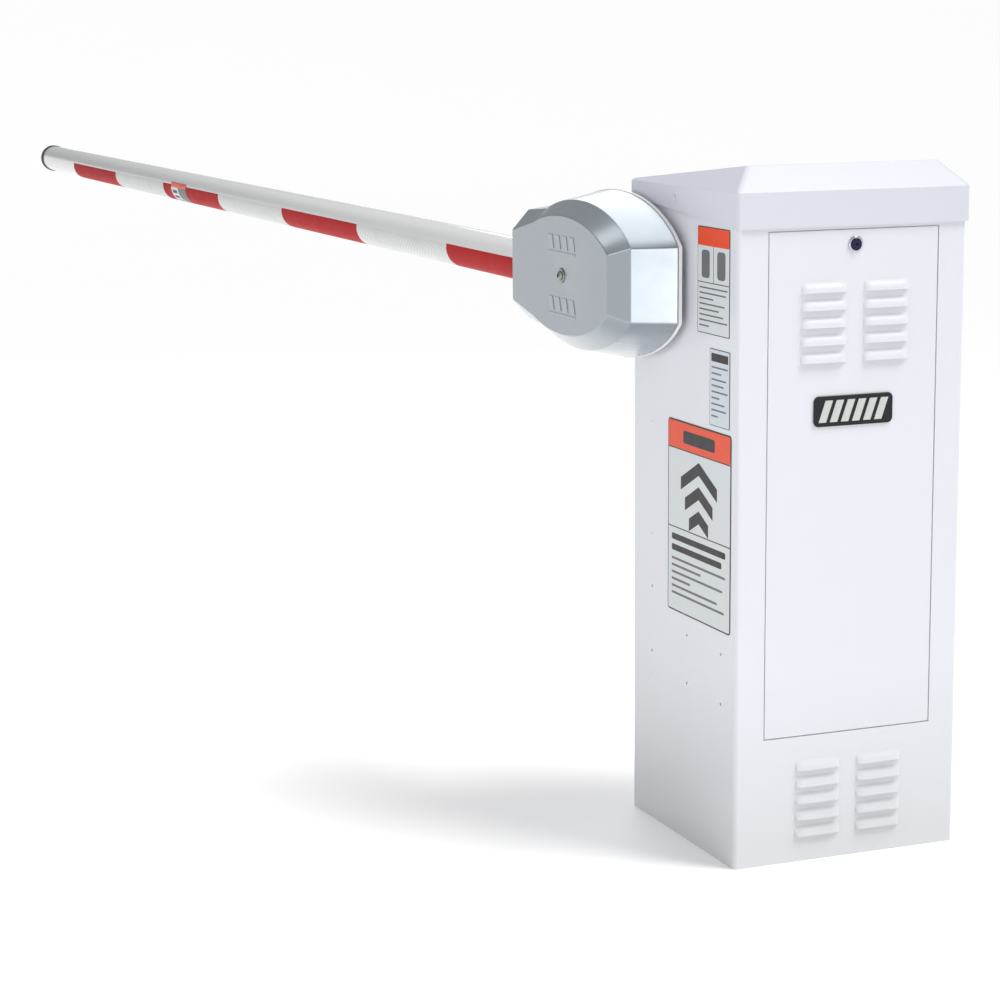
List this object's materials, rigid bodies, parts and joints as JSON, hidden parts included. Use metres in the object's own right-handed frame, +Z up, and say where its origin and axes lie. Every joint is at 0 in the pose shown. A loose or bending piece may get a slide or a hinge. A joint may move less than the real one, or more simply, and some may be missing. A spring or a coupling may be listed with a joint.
{
  "type": "parking barrier gate",
  "caption": "Parking barrier operator: a sheet-metal cabinet with hood and louvred door, whose side hub raises a long striped boom arm.",
  "frame": {"origin": "centre of the cabinet's footprint on the ground, on the underside of the base plate", "axes": "+Z up; the access door faces -Y; the hub is on the -X side; the closed arm lies level along +Y"},
  "size_m": [0.4886, 4.2286, 1.016],
  "materials": {
    "white_paint": "gloss white powder coat",
    "hub_paint": "satin silver-grey paint",
    "arm_tube": "white painted aluminium tube",
    "cast_aluminium": "as-cast, satin",
    "zinc_steel": "zinc plated",
    "chrome": "polished",
    "cast_iron": "enamel painted casting",
    "motor_paint": "satin grey enamel",
    "rubber": "matt black",
    "tape": "red and silver prismatic reflective tape",
    "label": "printed vinyl, no lettering",
    "nameplate": null,
    "black_plastic": "moulded",
    "board": "circuit board laminate"
  },
  "bodies": {
    "cabinet": {"base_plate": "zinc_steel", "cabinet_shell": "white_paint", "door_frame": "white_paint", "hood": "white_paint", "hood_screw_left": "zinc_steel", "hood_screw_right": "zinc_steel", "upper_label": "label", "rating_label": "label", "safety_label": "label", "wall_bushing": "black_plastic", "bearing_left": "cast_iron", "bearing_right": "cast_iron", "gear_reducer": "cast_iron", "motor": "motor_paint", "motor_cradle": "zinc_steel", "drive_belt": "rubber", "side_frame_left": "zinc_steel", "side_frame_right": "zinc_steel", "bearing_shelf": "zinc_steel", "reducer_platform": "zinc_steel", "limit_switch_closed": "black_plastic", "limit_switch_open": "black_plastic", "control_panel": "zinc_steel", "circuit_board": "board", "power_switch": "black_plastic"},
    "door": {"access_door": "white_paint", "door_stiffener": "zinc_steel", "door_nameplate": "nameplate", "lock_housing": "chrome", "lock_nut": "zinc_steel"},
    "lock": {"lock_plug": "chrome", "lock_cam": "zinc_steel"},
    "arm": {"hub_plate": "cast_aluminium", "hub_cover": "hub_paint", "cover_screw": "zinc_steel", "cover_washer": "zinc_steel", "clamp_rear": "cast_aluminium", "clamp_front": "cast_aluminium", "clamp_bolt_1": "zinc_steel", "clamp_bolt_2": "zinc_steel", "clamp_bolt_3": "zinc_steel", "clamp_bolt_4": "zinc_steel", "barrier_arm": "arm_tube", "arm_end_cap": "rubber", "reflective_tape": "tape", "main_shaft": "zinc_steel", "drive_lever": "zinc_steel", "lever_pin": "zinc_steel", "limit_cam_closed": "black_plastic", "limit_cam_open": "black_plastic"},
    "rod": {"connecting_rod": "zinc_steel", "rod_end_upper": "zinc_steel", "rod_end_lower": "zinc_steel"},
    "crank": {"output_shaft": "zinc_steel", "output_crank": "zinc_steel", "crank_pin": "zinc_steel"},
    "worm": {"input_pulley": "zinc_steel"},
    "rotor": {"motor_pulley": "zinc_steel"},
    "toggle": {"power_toggle": "chrome"}
  },
  "joints": [
    {"name": "arm_lift", "type": "hinge", "parent": "cabinet", "child": "arm", "pos_m": [0, 0.125, 0.838], "axis": [1, 0, 0], "range_deg": [0, 90]},
    {"name": "rod_swing", "type": "hinge", "parent": "arm", "child": "rod", "pos_m": [-0.0685, 0.0755, 0.8875], "axis": [1, 0, 0], "range_deg": [-90, 0]},
    {"name": "crank_turn", "type": "hinge", "parent": "cabinet", "child": "crank", "pos_m": [0, 0.085, 0.345], "axis": [1, 0, 0], "range_deg": [0, 90]},
    {"name": "worm_turn", "type": "hinge", "parent": "cabinet", "child": "worm", "pos_m": [0.03, 0, 0.3], "axis": [0, 1, 0], "range_deg": [0, 5400]},
    {"name": "motor_turn", "type": "hinge", "parent": "cabinet", "child": "rotor", "pos_m": [0.03, 0, 0.12], "axis": [0, 1, 0], "range_deg": [0, 10800]},
    {"name": "door_tilt", "type": "hinge", "parent": "cabinet", "child": "door", "pos_m": [0, -0.1765, 0.19], "axis": [1, 0, 0], "range_deg": [0, 30]},
    {"name": "lock_turn", "type": "hinge", "parent": "door", "child": "lock", "pos_m": [0.0016, -0.176, 0.9027], "axis": [0, -1, 0], "range_deg": [0, 90]},
    {"name": "power_toggle_tilt", "type": "hinge", "parent": "cabinet", "child": "toggle", "pos_m": [0.1478, -0.085, 0.485], "axis": [0, 1, 0], "range_deg": [0, 24]}
  ],
  "couplings": [
    {"joint": "rod_swing", "follows": "arm_lift", "ratio": -1},
    {"joint": "crank_turn", "follows": "arm_lift", "ratio": 1},
    {"joint": "worm_turn", "follows": "arm_lift", "ratio": 60},
    {"joint": "motor_turn", "follows": "arm_lift", "ratio": 120}
  ]
}
